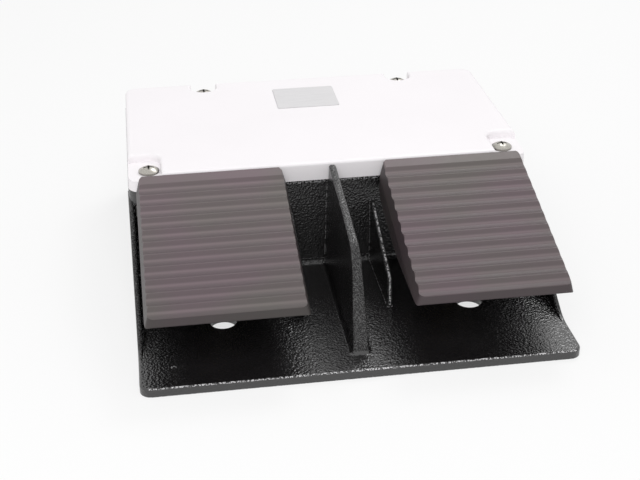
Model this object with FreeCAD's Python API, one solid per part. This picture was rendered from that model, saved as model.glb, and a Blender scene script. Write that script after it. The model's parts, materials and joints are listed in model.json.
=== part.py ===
import FreeCAD, Part
import math
import os
from FreeCAD import Vector

# Twin-pedal foot switch. Sizes in millimetres. X runs left to right, Y from the front to the back, Z up.
# Everything is drawn from the front edge of the base and from the table, and save() then moves it back by half
# of the depth, so that the origin is the middle of the underside.

# Base casting
overall_width = 240.0
overall_depth = 257.0
floor_thickness = 5.1
floor_front_corner_radius = 6.5
floor_edge_radius = 1.2

# Outer guards: thin walls whose top line falls to the front and ends in a hollow curve on the floor
guard_thickness = 3.0
guard_height_at_box = 52.5
guard_foot_y = 34.0
guard_foot_radius = 25.0
guard_edge_radius = 1.2

# Middle partition: a tall drafted blade with a sloping top, a rounded shoulder and a raked nose
partition_top_thickness = 4.0
partition_draft_angle = 2.0
partition_rear_height = 73.0
partition_back_y = 66.0
partition_back_height = 65.6
partition_back_radius = 60.0
partition_shoulder_y = 36.6
partition_shoulder_height = 60.0
partition_shoulder_radius = 16.0
partition_brow_y = 29.4
partition_brow_height = 50.0
partition_brow_radius = 32.0
partition_foot_y = 15.5
partition_end_radius = 1.5
partition_plain_end = 3.0
partition_edge_radius = 1.3
partition_foot_fillet = 2.4

# Fins beside the partition
fin_offset_x = 25.0
fin_thickness = 3.0
fin_height_at_box = 46.5
fin_knee_y = 78.0
fin_knee_height = 29.4
fin_tip_y = 63.3
fin_tip_height = 23.1
fin_foot_y = 61.0
fin_tip_radius = 3.0
fin_knee_radius = 30.0
fin_edge_radius = 1.2

# Box at the back
box_front_y = 118.6
box_rim_gap = 0.6
box_draft = 0.5
box_wall = 3.2
box_corner_radius = 8.0
box_foot_fillet = 3.0
rim_width = 8.0
rim_depth = 7.0
rim_slope_height = 5.0

# Gasket in the rim
gasket_width = 2.0
gasket_height = 2.2
gasket_groove_depth = 1.6
gasket_inset = 1.0
gasket_side_clearance = 0.2

# Cover
cover_top_height = 73.9
cover_lip_height = 11.0
cover_side_inset = 0.65
cover_front_overhang = 2.1
cover_rear_inset = 0.5
cover_draft = 0.7
cover_wall = 3.0
cover_front_wall = 6.0
cover_edge_radius = 1.8
cover_gap = 0.5
cover_rib_offset_x = 36.0
cover_rib_thickness = 2.0
cover_rib_height = 3.5

# Front corner pockets and rear notches of the cover
pocket_width = 20.2
pocket_depth_y = 28.5
pocket_floor_drop = 4.4
pocket_corner_radius = 8.0
notch_floor_drop = 5.6
notch_side_room = 2.25

# Cover screws, M6 with a pan head and a cross recess
screw_head_radius = 6.0
screw_head_height = 3.4
screw_shank_radius = 3.0
screw_shank_length = 14.0
screw_hole_room = 0.3
screw_thread_room = 0.02
front_screw_side_inset = 13.2
front_screw_set_back = 11.0
rear_screw_x = 66.5
rear_screw_inset = 7.5
screw_boss_radius = 6.2
cross_recess_width = 1.1
cross_recess_span = 6.0
cross_recess_depth = 1.6
head_flatness = 1.35

# Blank plate on the cover
label_centre_x = -1.3
label_rear_inset = 37.0
label_width = 40.0
label_depth = 34.0
label_thickness = 0.8
label_recess = 0.5
label_corner_radius = 1.5
label_room = 0.2

# Holes and dimples in the floor
floor_hole_radius = 7.5
floor_hole_y = 60.5
dimple_radius = 1.3
dimple_depth = 0.6
dimple_inset = 18.6

# Pedals: ribbed treads on a drafted shell, hinged at the rear
pedal_guard_clearance = 2.0
pedal_fin_clearance = 1.4
pedal_rear_y = 115.3
pedal_rear_height = 73.9
pedal_slope_angle = 15.5
pedal_length = 111.3
pedal_bevel_width = 2.35
pedal_bevel_depth = 8.5
pedal_wall = 2.8
pedal_tread_thickness = 2.6
pedal_corner_radius = 3.0
pedal_chamfer_width = 0.5
pedal_chamfer_depth = 0.8
pedal_rear_radius = 0.8
pedal_front_lean = 1.1
pedal_rear_lean = 1.15
pedal_block_depth = 45.0
pedal_hollow_depth = 60.0

# Lower line of the pedal's skirt and its rear edge, from the front to the back: y, height, corner radius
skirt_front_reach = 0.25
skirt_front_height = 36.8
skirt_front_radius = 1.6
skirt_line = (
    (60.0, 38.4, 60.0),
    (73.0, 40.6, 12.0),
    (86.0, 44.9, 14.0),
    (99.0, 46.8, 16.0),
    (113.0, 53.0, 5.0),
    (115.7, 60.0, 4.0),
    (115.4, 71.5, 0),
)

# Ribs across the treads: a smooth band at the rear, then crests that each fall straight towards the front
# and rise in a hollow curve to the next one
tread_band_length = 7.5
rib_count = 10
rib_pitch = 9.66
rib_depth = 1.9
rib_fall_run = 4.3
rib_rise_run = 7.1
rib_rise_depth = 1.5
rib_crest_radius = 0.4
rib_valley_radius = 1.6
rib_rise_radius = 5.0
nose_drop = 1.3
nose_radius = 0.8
edge_room = 0.05

# Hinge of each pedal
axle_y = 104.0
axle_height = 57.0
axle_radius = 3.0
axle_fit = 0.05
lug_offset_x = 28.0
lug_thickness = 5.0
lug_radius = 6.0
lug_root_low = 44.0
lug_root_high = 61.0
bush_wall = 1.0
bush_flange_radius = 5.6
bush_flange_thickness = 1.0
bush_seat_fit = 0.02
hub_radius = 5.8
hub_gap = 0.3
axle_blind_wall = 4.0
axle_end_stand = 0.6
clip_thickness = 0.8
clip_outer_radius = 5.4
clip_groove_depth = 0.5
clip_gap = 0.3
clip_mouth = 3.4
clip_room = 0.05

# Plunger, its guide, seal and nut
plunger_height = 34.0
plunger_radius = 4.0
plunger_tip_y = 110.6
plunger_tip_sphere = 8.0
plunger_length = 30.4
plunger_collar_radius = 6.2
plunger_collar_thickness = 2.0
plunger_fit = 0.05
guide_flange_radius = 9.0
guide_flange_thickness = 3.0
guide_body_radius = 7.0
guide_tail_length = 5.4
guide_fit = 0.02
seal_radius = 6.2
seal_thickness = 1.9
seal_recess = 2.1
nut_across_flats = 20.0
nut_thickness = 4.0
nut_washer_gap = 0.02

# Cam arm under each pedal
arm_width = 12.0
arm_thickness = 7.0
arm_tip_height = 29.5
arm_gap = 0.3
arm_root_length = 15.0
arm_root_flare = 3.0
arm_root_radius = 8.0
arm_tip_radius = 2.0

# Return spring under each pedal
spring_y = 82.0
spring_coil_radius = 5.6
spring_wire_radius = 0.8
spring_turns = 5
spring_seat_height = 7.6
spring_cup_seat_height = 50.0
spring_cup_mouth_height = 43.0
spring_cup_wall = 1.8
spring_room = 0.5
spring_end_gap = 0.05
spring_pad_radius = 8.4
spring_spigot_height = 6.0

# Stiffening ribs under each tread
under_rib_thickness = 2.0
under_rib_depth = 5.0
under_rib_offset_x = 20.0
under_rib_stations = (32.0, 58.0)
under_rib_rear_distance = 24.0
under_rib_front_room = 1.0
under_rib_end_radius = 3.0

# Switch inserts in the box
switch_front_y = 149.0
switch_width = 30.0
switch_depth = 40.0
switch_height = 40.0
switch_seat_height = 14.0
switch_flange_width = 46.0
switch_flange_depth = 18.0
switch_flange_thickness = 4.0
switch_flange_corner_radius = 3.0
switch_step_depth = 12.0
switch_step_drop = 9.0
switch_pad_width = 11.0
switch_pad_depth = 20.0
button_radius = 3.5
button_fit = 0.05
button_gap = 0.3
button_length = 12.0
button_bore_depth = 11.0
small_screw_radius = 2.0
small_screw_head_radius = 3.6
small_screw_head_height = 2.4
small_screw_length = 9.0
small_screw_room = 0.02
terminal_offset_x = 9.0
terminal_pitch_y = 20.0
terminal_recess = 1.2

# Earth screw and cable entry
earth_boss_inset = 25.0
earth_boss_radius = 6.0
earth_boss_height = 9.0
cable_entry_radius = 10.2
cable_entry_height = 32.0
cable_entry_boss_radius = 15.0
cable_entry_boss_depth = 3.0

# Rounding shared by small pieces, the overlap of joined pieces and the tolerance of comparisons
small_radius = 0.8
hidden_root = 1.0
tiny = 1e-3

half_width = overall_width / 2
cover_bottom_height = cover_top_height - cover_lip_height
box_rim_height = cover_bottom_height - box_rim_gap
cover_front_y = box_front_y - cover_front_overhang
pocket_inner_x = half_width - pocket_width
front_screw_x = half_width - front_screw_side_inset
front_screw_y = box_front_y + front_screw_set_back
rear_screw_y = overall_depth - rear_screw_inset
label_centre_y = overall_depth - label_rear_inset
earth_boss_y = overall_depth - earth_boss_inset
guard_inner_x = half_width - guard_thickness
fin_outer_x = fin_offset_x + fin_thickness / 2
pedal_half_width = (guard_inner_x - pedal_guard_clearance - fin_outer_x - pedal_fin_clearance) / 2
pedal_centre_x = fin_outer_x + pedal_fin_clearance + pedal_half_width
slope = math.radians(pedal_slope_angle)


def turning_corner(before, here, after, radius):
    """Start, middle and end of the arc that rounds the corner at here."""
    to_before = (before - here).normalize()
    to_after = (after - here).normalize()
    half_angle = to_before.getAngle(to_after) / 2
    reach = radius / math.tan(half_angle)
    middle_way = (to_before + to_after).normalize()
    centre = here + middle_way * (radius / math.sin(half_angle))
    return here + to_before * reach, centre - middle_way * radius, here + to_after * reach


def outline(corners):
    """Closed wire through corners given as (place, radius), each rounded by its own radius."""
    edges = []
    ends = []
    for index, (place, radius) in enumerate(corners):
        before = corners[index - 1][0]
        after = corners[(index + 1) % len(corners)][0]
        if radius > 0:
            start, middle, end = turning_corner(before, place, after, radius)
            edges.append(Part.Arc(start, middle, end).toShape())
        else:
            start = end = place
        ends.append((start, end))
    for index in range(len(corners)):
        start = ends[index - 1][1]
        end = ends[index][0]
        if start.distanceToPoint(end) > tiny:
            edges.append(Part.makeLine(start, end))
    return Part.Wire(Part.__sortEdges__(edges))


def side_prism(corners, x_from, x_to):
    """Solid of a side view, corners (y, z, radius), from one x to another."""
    wire = outline([(Vector(x_from, y, z), radius) for y, z, radius in corners])
    return Part.Face(wire).extrude(Vector(x_to - x_from, 0, 0))


def plan_prism(corners, z_from, z_to):
    """Solid of a plan view, corners (x, y, radius), from one height to another."""
    wire = outline([(Vector(x, y, z_from), radius) for x, y, radius in corners])
    return Part.Face(wire).extrude(Vector(0, 0, z_to - z_from))


def front_prism(corners, y_from, y_to):
    """Solid of a front view, corners (x, z, radius), from one y to another."""
    wire = outline([(Vector(x, y_from, z), radius) for x, z, radius in corners])
    return Part.Face(wire).extrude(Vector(0, y_to - y_from, 0))


def rectangle(x_from, x_to, y_from, y_to, front_radius, rear_radius):
    """Plan corners of a rectangle with rounded front and rear corners."""
    return [
        (x_from, y_from, front_radius),
        (x_to, y_from, front_radius),
        (x_to, y_to, rear_radius),
        (x_from, y_to, rear_radius),
    ]


def plan_wire(corners, height):
    """Wire of a plan view at one height."""
    return outline([(Vector(x, y, height), radius) for x, y, radius in corners])


def block(x_from, x_to, y_from, y_to, z_from, z_to):
    """Plain block between two corners."""
    corner = Vector(x_from, y_from, z_from)
    return Part.makeBox(x_to - x_from, y_to - y_from, z_to - z_from, corner)


def rod_x(radius, x_from, x_to, y, z):
    """Round bar along X."""
    return Part.makeCylinder(radius, x_to - x_from, Vector(x_from, y, z), Vector(1, 0, 0))


def rod_y(radius, y_from, y_to, x, z):
    """Round bar along Y."""
    return Part.makeCylinder(radius, y_to - y_from, Vector(x, y_from, z), Vector(0, 1, 0))


def rod_z(radius, z_from, z_to, x, y):
    """Upright round bar."""
    return Part.makeCylinder(radius, z_to - z_from, Vector(x, y, z_from), Vector(0, 0, 1))


def joined(shapes):
    """One solid from several that touch or overlap."""
    return shapes[0].multiFuse(shapes[1:]).removeSplitter()


def mirrored(shape):
    """The same piece on the other side of the middle plane."""
    return shape.mirror(Vector(0, 0, 0), Vector(1, 0, 0))


def both_sides(shape):
    """A piece and its mirror image."""
    return [shape, mirrored(shape)]


def edges_on_height(shape, height):
    """Edges that lie wholly at one height."""
    found = []
    for edge in shape.Edges:
        box = edge.BoundBox
        if abs(box.ZMin - height) < tiny and abs(box.ZMax - height) < tiny:
            found.append(edge)
    return found


def save(name, shape):
    """Write one node, with the origin moved to the middle of the underside."""
    placed = shape.copy()
    placed.translate(Vector(0, -overall_depth / 2, 0))
    placed.exportStep(os.path.join("parts", name + ".step"))
    print(name, "valid" if shape.isValid() else "NOT VALID", len(shape.Solids), round(shape.Volume, 1))


# Base casting


def floor_plate():
    """Floor under the whole switch, its upper front edge rounded."""
    plan = rectangle(-half_width, half_width, 0, overall_depth, floor_front_corner_radius, box_corner_radius)
    plate = plan_prism(plan, 0, floor_thickness)
    return plate.makeFillet(floor_edge_radius, edges_on_height(plate, floor_thickness))


def guard():
    """Right outer guard, from the floor's underside so that it closes over the rounded floor edge."""
    rise = (guard_height_at_box - floor_thickness) / (box_front_y - guard_foot_y)
    root_y = box_front_y + box_corner_radius + box_wall
    root_height = floor_thickness + rise * (root_y - guard_foot_y)
    toe_reach = guard_foot_radius * math.tan(math.atan(rise) / 2)
    toe_y = guard_foot_y - toe_reach - hidden_root
    side = [
        (toe_y, 0, 0),
        (toe_y, floor_thickness, 0),
        (guard_foot_y, floor_thickness, guard_foot_radius),
        (root_y, root_height, 0),
        (root_y, 0, 0),
    ]
    wall = side_prism(side, half_width - guard_thickness, half_width)
    crest = [
        edge for edge in wall.Edges
        if edge.BoundBox.XLength < tiny
        and edge.BoundBox.ZMin > floor_thickness - tiny
        and edge.BoundBox.ZLength > tiny
        and edge.BoundBox.YLength > tiny
    ]
    return wall.makeFillet(guard_edge_radius, crest)


def partition():
    """Middle partition with its draft, rounded edges and a fillet where it meets the floor."""
    spread = math.tan(math.radians(partition_draft_angle)) * (partition_rear_height - floor_thickness)
    top = partition_top_thickness / 2
    foot = top + spread
    root_y = box_front_y + hidden_root
    end_y = cover_front_y - cover_gap
    side = [
        (root_y, floor_thickness, 0),
        (partition_foot_y, floor_thickness, 0),
        (partition_brow_y, partition_brow_height, partition_brow_radius),
        (partition_shoulder_y, partition_shoulder_height, partition_shoulder_radius),
        (partition_back_y, partition_back_height, partition_back_radius),
        (end_y, partition_rear_height, partition_end_radius),
        (end_y, box_rim_height, 0),
        (root_y, box_rim_height, 0),
    ]
    blade = side_prism(side, -foot, foot)
    section = [
        (-foot, floor_thickness, 0),
        (foot, floor_thickness, 0),
        (top, partition_rear_height, 0),
        (-top, partition_rear_height, 0),
    ]
    wedge = front_prism(section, 0, root_y)
    blade = blade.common(wedge)
    crest = [
        edge for edge in blade.Edges
        if abs(edge.CenterOfMass.x) > top / 2
        and edge.BoundBox.YMax < root_y - tiny
        and edge.BoundBox.XLength < spread + tiny
        and edge.BoundBox.ZMax > floor_thickness + tiny
        and edge.BoundBox.YLength > tiny
        and edge.CenterOfMass.y < cover_front_y - partition_plain_end
    ]
    blade = blade.makeFillet(partition_edge_radius, crest)
    slab = block(-foot * 3, foot * 3, partition_foot_y - foot * 2, root_y, floor_thickness / 2, floor_thickness)
    rooted = blade.fuse(slab).removeSplitter()
    foot_edges = [
        edge for edge in edges_on_height(rooted, floor_thickness)
        if abs(edge.CenterOfMass.x) < foot + tiny
        and edge.BoundBox.YMin > partition_foot_y - tiny
        and edge.BoundBox.YMax < root_y + tiny
        and edge.CenterOfMass.y < root_y - tiny
    ]
    return rooted.makeFillet(partition_foot_fillet, foot_edges)


def fin():
    """Right fin, a low rib beside the partition."""
    root_y = box_front_y + hidden_root
    side = [
        (root_y, floor_thickness / 2, 0),
        (fin_foot_y, floor_thickness / 2, 0),
        (fin_foot_y, floor_thickness, 0),
        (fin_tip_y, fin_tip_height, fin_tip_radius),
        (fin_knee_y, fin_knee_height, fin_knee_radius),
        (root_y, fin_height_at_box, 0),
    ]
    wall = side_prism(side, fin_offset_x - fin_thickness / 2, fin_offset_x + fin_thickness / 2)
    crest = [
        edge for edge in wall.Edges
        if edge.BoundBox.XLength < tiny
        and edge.BoundBox.ZMin > floor_thickness - tiny
        and edge.CenterOfMass.z > floor_thickness + hidden_root
        and edge.BoundBox.YLength > tiny
    ]
    return wall.makeFillet(fin_edge_radius, crest)


def box_plan(inset, corner_inset=0.0):
    """Plan corners of the box, moved inwards by inset."""
    radius = max(box_corner_radius - inset - corner_inset, small_radius)
    return rectangle(
        -half_width + inset, half_width - inset,
        box_front_y + inset, overall_depth - inset,
        radius, radius,
    )


def drafted_block(low_plan, low_height, high_plan, high_height):
    """Solid between two plan outlines at two heights."""
    return Part.makeLoft([plan_wire(low_plan, low_height), plan_wire(high_plan, high_height)], True, True)


def box_walls():
    """Walls of the box with the wider rim at their top."""
    outside = drafted_block(box_plan(0), 0, box_plan(box_draft), box_rim_height)
    rim_bottom = box_rim_height - rim_depth
    inner = box_plan(box_draft + box_wall)
    mouth = box_plan(box_draft + rim_width)
    room = plan_prism(inner, floor_thickness, rim_bottom - rim_slope_height)
    neck = drafted_block(inner, rim_bottom - rim_slope_height, mouth, rim_bottom)
    opening = plan_prism(mouth, rim_bottom, box_rim_height + hidden_root)
    return outside.cut(joined([room, neck, opening]))


def gasket_ring(width, side_room, z_from, z_to):
    """Ring that follows the box rim."""
    outer_inset = box_draft + gasket_inset - side_room
    inner_inset = box_draft + gasket_inset + width + side_room
    outer = plan_prism(box_plan(outer_inset), z_from, z_to)
    inner = plan_prism(box_plan(inner_inset), z_from - hidden_root, z_to + hidden_root)
    return outer.cut(inner)


def box_foot():
    """Fillet along the foot of the box's front wall."""
    top = floor_thickness + box_foot_fillet
    root_y = box_front_y + hidden_root
    side = [
        (root_y, floor_thickness / 2, 0),
        (box_front_y - box_foot_fillet - hidden_root, floor_thickness / 2, 0),
        (box_front_y - box_foot_fillet - hidden_root, floor_thickness, 0),
        (box_front_y, floor_thickness, box_foot_fillet),
        (box_front_y, top + hidden_root, 0),
        (root_y, top + hidden_root, 0),
    ]
    reach = half_width - guard_thickness / 2
    return side_prism(side, -reach, reach)


def hinge_lug(centre_x):
    """Bearing lug on the box's front wall, seen from the side as an eye on a tapering web."""
    root_y = box_front_y + hidden_root
    half = lug_thickness / 2
    web = side_prism(
        [
            (root_y, lug_root_low, 0),
            (axle_y - lug_radius * math.sin(slope), axle_height - lug_radius * math.cos(slope), 0),
            (axle_y, axle_height + lug_radius, 0),
            (root_y, lug_root_high, 0),
        ],
        centre_x - half, centre_x + half,
    )
    eye = rod_x(lug_radius, centre_x - half, centre_x + half, axle_y, axle_height)
    return joined([web, eye])


def cover_screw_places():
    """Places of the four cover screws: x, y, height of the seat under the head, height of the boss below."""
    front_seat = cover_top_height - pocket_floor_drop
    rear_seat = cover_top_height - notch_floor_drop
    front_boss = front_seat - cover_wall
    return {
        "front": [(side * front_screw_x, front_screw_y, front_seat, front_boss) for side in (-1, 1)],
        "rear": [(side * rear_screw_x, rear_screw_y, rear_seat, box_rim_height) for side in (-1, 1)],
    }


def switch_screw_places(centre_x):
    """Places of the two screws that hold one switch insert."""
    offset = (switch_width + switch_flange_width) / 4
    middle_y = switch_front_y + switch_depth / 2
    return [(centre_x - offset, middle_y), (centre_x + offset, middle_y)]


def base_casting():
    """The whole casting: floor, guards, partition, fins, box, lugs, bosses, holes and dimples."""
    centres = (-pedal_centre_x, pedal_centre_x)
    pieces = [floor_plate(), partition(), box_walls(), box_foot()]
    pieces += both_sides(guard())
    pieces += both_sides(fin())
    holes = [gasket_ring(gasket_width, gasket_side_clearance, box_rim_height - gasket_groove_depth,
                         box_rim_height + hidden_root)]
    for places in cover_screw_places().values():
        for x, y, seat, boss_top in places:
            pieces.append(rod_z(screw_boss_radius, floor_thickness - hidden_root, boss_top, x, y))
            hole_bottom = seat - screw_shank_length - hidden_root
            holes.append(rod_z(screw_shank_radius + screw_thread_room, hole_bottom, boss_top + hidden_root, x, y))
    for centre_x in centres:
        for side in (-1, 1):
            lug_x = centre_x + side * lug_offset_x
            pieces.append(hinge_lug(lug_x))
            holes.append(rod_x(
                axle_radius + axle_fit + bush_wall + bush_seat_fit,
                lug_x - lug_thickness, lug_x + lug_thickness, axle_y, axle_height,
            ))
        for x, y in switch_screw_places(centre_x):
            pieces.append(block(
                x - switch_pad_width / 2, x + switch_pad_width / 2,
                y - switch_pad_depth / 2, y + switch_pad_depth / 2,
                floor_thickness - hidden_root, switch_seat_height,
            ))
            hole_bottom = switch_seat_height + switch_flange_thickness - small_screw_length - hidden_root / 2
            holes.append(rod_z(small_screw_radius + small_screw_room, hole_bottom,
                               switch_seat_height + hidden_root, x, y))
        pieces.append(rod_z(spring_pad_radius, floor_thickness - hidden_root, spring_seat_height,
                            centre_x, spring_y))
        spigot_radius = spring_coil_radius - spring_wire_radius - spring_room
        pieces.append(rod_z(spigot_radius, spring_seat_height - hidden_root,
                            spring_seat_height + spring_spigot_height, centre_x, spring_y))
        holes.append(rod_y(guide_body_radius + guide_fit, box_front_y - hidden_root,
                           box_front_y + box_wall + box_draft + hidden_root, centre_x, plunger_height))
        holes.append(rod_z(floor_hole_radius, -hidden_root, floor_thickness + hidden_root, centre_x, floor_hole_y))
    for x in (dimple_inset - half_width, half_width - dimple_inset):
        holes.append(rod_z(dimple_radius, floor_thickness - dimple_depth, floor_thickness + hidden_root,
                           x, dimple_inset))
    earth_top = floor_thickness + earth_boss_height
    pieces.append(rod_z(earth_boss_radius, floor_thickness - hidden_root, earth_top, 0, earth_boss_y))
    holes.append(rod_z(small_screw_radius + small_screw_room, earth_top - small_screw_length - hidden_root / 2,
                       earth_top + hidden_root, 0, earth_boss_y))
    inner_wall_y = overall_depth - box_draft - box_wall
    pieces.append(rod_y(cable_entry_boss_radius, inner_wall_y - cable_entry_boss_depth, inner_wall_y + hidden_root,
                        0, cable_entry_height))
    holes.append(rod_y(cable_entry_radius, inner_wall_y - cable_entry_boss_depth - hidden_root,
                       overall_depth + hidden_root, 0, cable_entry_height))
    casting = joined(pieces)
    for hole in holes:
        casting = casting.cut(hole)
    return casting


# Cover, gasket, plate and screws


def cover_plan(height, inset=0.0, front_inset=0.0):
    """Plan corners of the cover at one height, moved inwards by inset, and by front_inset at the front."""
    lean = cover_draft * (height - cover_bottom_height) / cover_lip_height
    side = half_width - cover_side_inset - lean - inset
    radius = max(box_corner_radius - inset, small_radius)
    front = cover_front_y + lean / 2 + front_inset
    rear = overall_depth - cover_rear_inset - lean - inset
    return rectangle(-side, side, front, rear, radius, radius)


def pocket(grow, z_from, z_to):
    """Room of the right front corner pocket, grown sideways by grow."""
    return plan_prism(
        rectangle(
            pocket_inner_x - grow, half_width + grow + hidden_root,
            cover_front_y - grow - hidden_root, cover_front_y + pocket_depth_y + grow,
            0, pocket_corner_radius,
        ),
        z_from, z_to,
    )


def notch(grow, z_from, z_to):
    """Room of the right rear notch, a slot with a round end, grown sideways by grow."""
    radius = screw_head_radius + notch_side_room + grow
    round_end = rod_z(radius, z_from, z_to, rear_screw_x, rear_screw_y)
    channel = block(rear_screw_x - radius, rear_screw_x + radius, rear_screw_y, overall_depth + hidden_root,
                    z_from, z_to)
    return joined([round_end, channel])


def cover():
    """Moulded cover: a drafted tray with screw recesses, a seat for the plate and two ribs inside."""
    body = drafted_block(
        cover_plan(cover_bottom_height), cover_bottom_height,
        cover_plan(cover_top_height), cover_top_height,
    )
    pocket_floor = cover_top_height - pocket_floor_drop
    notch_floor = cover_top_height - notch_floor_drop
    above = cover_top_height + hidden_root
    for room in both_sides(pocket(0, pocket_floor, above)) + both_sides(notch(0, notch_floor, above)):
        body = body.cut(room)
    body = body.makeFillet(cover_edge_radius, edges_on_height(body, cover_top_height))
    ceiling = cover_top_height - cover_wall
    inner_plan = cover_plan(cover_bottom_height, cover_wall, cover_front_wall)
    hollow = plan_prism(inner_plan, cover_bottom_height - hidden_root, ceiling)
    guards = both_sides(pocket(cover_wall, pocket_floor - cover_wall, above))
    guards += both_sides(notch(cover_wall, cover_bottom_height - hidden_root, above))
    for side in (-1, 1):
        x = side * cover_rib_offset_x
        guards.append(block(x - cover_rib_thickness / 2, x + cover_rib_thickness / 2,
                            cover_front_y, overall_depth, ceiling - cover_rib_height, above))
    for kept in guards:
        hollow = hollow.cut(kept)
    body = body.cut(hollow)
    for places in cover_screw_places().values():
        for x, y, seat, boss_top in places:
            body = body.cut(rod_z(screw_shank_radius + screw_hole_room, boss_top, seat + hidden_root, x, y))
    return body.cut(label_block(label_room, cover_top_height - label_recess, above))


def label_block(grow, z_from, z_to):
    """Rounded plate outline for the label, grown sideways by grow."""
    half_x = label_width / 2 + grow
    half_y = label_depth / 2 + grow
    return plan_prism(
        rectangle(
            label_centre_x - half_x, label_centre_x + half_x,
            label_centre_y - half_y, label_centre_y + half_y,
            label_corner_radius, label_corner_radius,
        ),
        z_from, z_to,
    )


def label_plate():
    """Blank plate in its recess."""
    bottom = cover_top_height - label_recess
    return label_block(0, bottom, bottom + label_thickness)


def gasket():
    """Ring gasket between the box rim and the cover."""
    bottom = box_rim_height - gasket_groove_depth
    return gasket_ring(gasket_width, 0, bottom, bottom + gasket_height)


def pan_head_screw(x, y, seat, head_radius, head_height, shank_radius, shank_length):
    """Pan-head screw standing on its seat, with a cross recess."""
    crown_radius = (head_radius ** 2 + head_height ** 2) / (2 * head_height) * head_flatness
    crown = Part.makeSphere(crown_radius, Vector(x, y, seat + head_height - crown_radius))
    head = rod_z(head_radius, seat, seat + head_height, x, y).common(crown)
    shank = rod_z(shank_radius, seat - shank_length, seat + hidden_root, x, y)
    screw = joined([head, shank])
    ratio = head_radius / screw_head_radius
    half_span = cross_recess_span / 2 * ratio
    half_slot = cross_recess_width / 2 * ratio
    bottom = seat + head_height - cross_recess_depth * ratio
    top = seat + head_height + hidden_root
    for half_x, half_y in ((half_span, half_slot), (half_slot, half_span)):
        screw = screw.cut(block(x - half_x, x + half_x, y - half_y, y + half_y, bottom, top))
    return screw


def cover_screws(row):
    """Both screws of the front or rear row."""
    return Part.makeCompound([
        pan_head_screw(x, y, seat, screw_head_radius, screw_head_height, screw_shank_radius, screw_shank_length)
        for x, y, seat, boss_top in cover_screw_places()[row]
    ])


# Pedals, drawn for the right side


def tread_point(distance, rise):
    """Point in the side view: distance forward along the tread from its rear edge, rise square to it."""
    y = pedal_rear_y - distance * math.cos(slope) - rise * math.sin(slope)
    z = pedal_rear_height - distance * math.sin(slope) + rise * math.cos(slope)
    return y, z


def tread_distance(y):
    """Distance along the tread of the point above y."""
    return (pedal_rear_y - y) / math.cos(slope)


def tread_profile():
    """Side view of the tread from the rear to the front: smooth band, then the ribs as far as the nose."""
    corners = [tread_point(-edge_room, 0) + (pedal_rear_radius,)]
    for index in range(rib_count + 1):
        crest = tread_band_length + index * rib_pitch
        corners.append(tread_point(crest, 0) + (rib_crest_radius,))
        corners.append(tread_point(crest + rib_fall_run, -rib_depth) + (rib_valley_radius,))
        if index < rib_count:
            corners.append(tread_point(crest + rib_rise_run, -rib_rise_depth) + (rib_rise_radius,))
    corners.append(tread_point(front_distance(-nose_drop) + edge_room, -nose_drop) + (nose_radius,))
    return corners


def front_distance(rise):
    """Distance along the tread of the front face at this rise."""
    return pedal_length - rise * math.tan(slope) * pedal_front_lean


def half_width_at(rise):
    """Half of the pedal's width at this rise: chamfered crests, a bevel below them and plumb further down."""
    bevel = pedal_bevel_width * max(0, 1 + rise / pedal_bevel_depth)
    chamfer = pedal_chamfer_width * max(0, 1 + rise / pedal_chamfer_depth)
    return pedal_half_width - bevel - chamfer


def pedal_side():
    """Side view of the pedal: ribs, nose and the skirt's lower line."""
    corners = tread_profile()
    nose_y = corners[-1][0]
    corners.append((nose_y - skirt_front_reach, skirt_front_height, skirt_front_radius))
    corners += skirt_line
    return corners


def pedal_block(inset, top_rise, bottom_rise, rear_inset):
    """Bevelled block under the tread plane, its sides moved inwards by inset."""
    wires = []
    stages = [rise for rise in (-pedal_chamfer_depth, -pedal_bevel_depth) if rise < top_rise]
    for rise in [top_rise] + stages + [bottom_rise]:
        half = half_width_at(rise) - inset
        front = front_distance(rise) - inset
        rear = rear_inset - rise * math.tan(slope) * pedal_rear_lean
        radius = max(pedal_corner_radius - inset, small_radius)
        corners = []
        for x, distance in ((-half, rear), (half, rear), (half, front), (-half, front)):
            y, z = tread_point(distance, rise)
            corners.append((Vector(x, y, z), radius))
        wires.append(outline(corners))
    return Part.makeLoft(wires, True, True)


def pedal_shell():
    """Outer skin of the pedal, centred on x = 0 and open below."""
    body = pedal_block(0, 0, -pedal_block_depth, 0)
    reach = overall_width / 2
    body = body.common(side_prism(pedal_side(), -reach, reach))
    hollow = pedal_block(pedal_wall, -rib_depth - pedal_tread_thickness, -pedal_hollow_depth, pedal_wall)
    return body.cut(hollow)


def pedal_arm():
    """Cam arm that pushes the plunger, with the hub round the axle."""
    rear_y = plunger_tip_y - arm_gap
    front_y = rear_y - arm_thickness
    inside = -rib_depth - pedal_tread_thickness / 2
    side = [
        (front_y, arm_tip_height, arm_tip_radius),
        (rear_y, arm_tip_height, arm_tip_radius),
        (rear_y, axle_height, 0),
        tread_point(tread_distance(rear_y), inside) + (0,),
        tread_point(tread_distance(rear_y - arm_root_length), inside) + (0,),
        (front_y - arm_root_flare, axle_height - hub_radius, arm_root_radius),
    ]
    arm = side_prism(side, -arm_width / 2, arm_width / 2)
    hub = rod_x(hub_radius, -arm_width / 2, arm_width / 2, axle_y, axle_height)
    return joined([arm, hub])


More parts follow.
